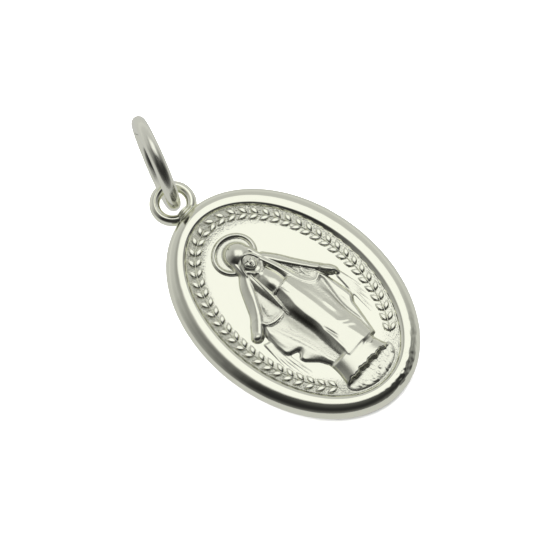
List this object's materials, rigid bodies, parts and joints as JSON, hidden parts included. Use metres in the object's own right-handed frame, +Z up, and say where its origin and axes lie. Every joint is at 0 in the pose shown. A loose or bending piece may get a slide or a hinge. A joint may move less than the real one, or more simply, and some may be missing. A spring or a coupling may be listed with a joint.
{
  "type": "religious medal pendant",
  "caption": "Oval polished silver devotional medal: robed figure in relief, leaf border, rounded rim, soldered loop and a jump ring for a chain, lying on its back.",
  "frame": {"origin": "on the surface it lies on, under the middle of the whole pendant's box", "axes": "+Z up from the surface, +Y from the foot of the oval towards the loop and the jump ring, +X to the right of the medal's face"},
  "size_m": [0.0142, 0.027, 0.0072],
  "materials": {
    "medal_silver": "bright polished silver with satin ground in the relief",
    "ring_silver": "bright polished silver wire"
  },
  "bodies": {
    "root": {"medal": "medal_silver", "jump_ring": "ring_silver"}
  },
  "joints": []
}
